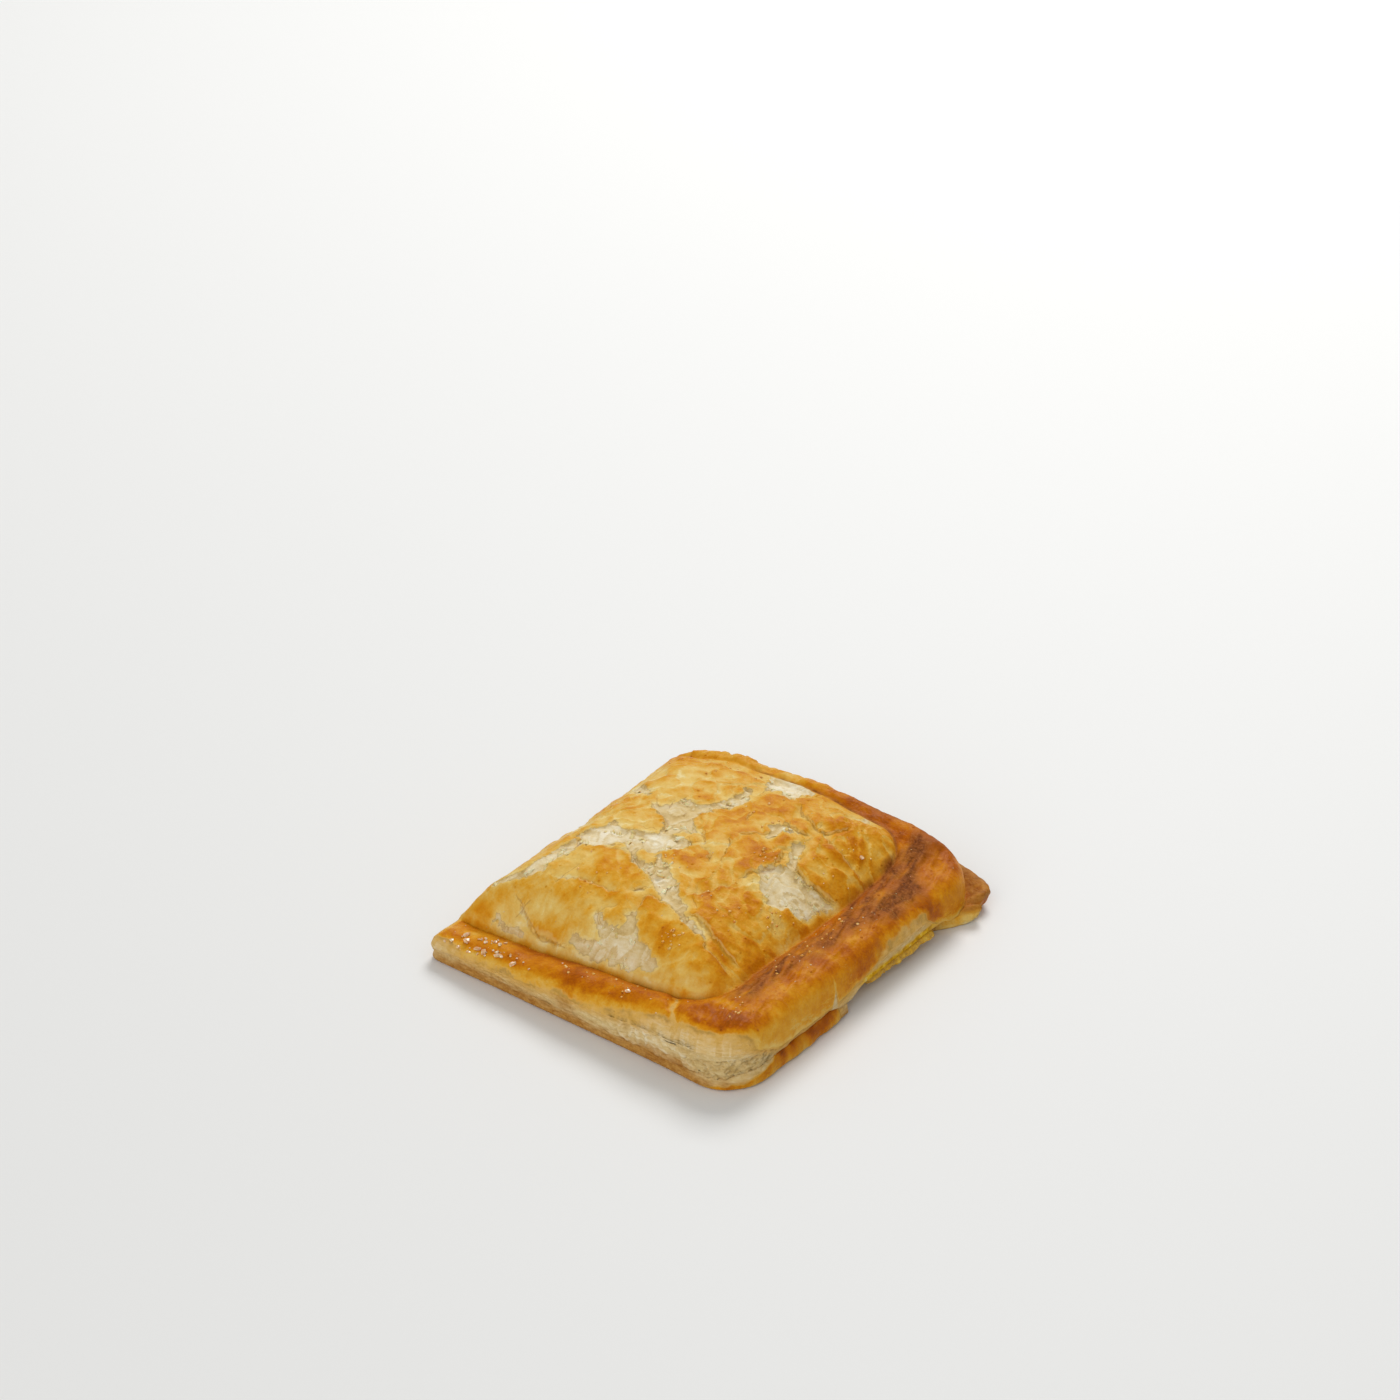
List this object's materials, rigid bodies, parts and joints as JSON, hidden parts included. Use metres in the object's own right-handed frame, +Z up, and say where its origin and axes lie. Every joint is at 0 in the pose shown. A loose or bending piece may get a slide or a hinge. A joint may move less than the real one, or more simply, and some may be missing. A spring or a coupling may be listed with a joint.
{
  "type": "savoury puff pastry pie slice",
  "caption": "Square puff pastry pie with a glazed, cracked and domed lid, a raised rim on three sides, a folded side, a browned base sheet and beef and onion filling showing at one side",
  "frame": {"origin": "centre of the flat underside, on the surface that the pie stands on", "axes": "+X along the front edge from the thin corner to the thick corner, +Y along the side where the filling shows, +Z up"},
  "size_m": [0.1188, 0.1358, 0.031],
  "materials": {
    "glazed_crust": "egg-glazed baked puff pastry, golden brown, torn pale in places",
    "base_crust": "dry baked pastry sheet, medium brown",
    "filling": "moist baked beef and onion filling"
  },
  "bodies": {
    "root": {"pastry_lid": "glazed_crust", "pastry_base": "base_crust", "filling": "filling"}
  },
  "joints": []
}
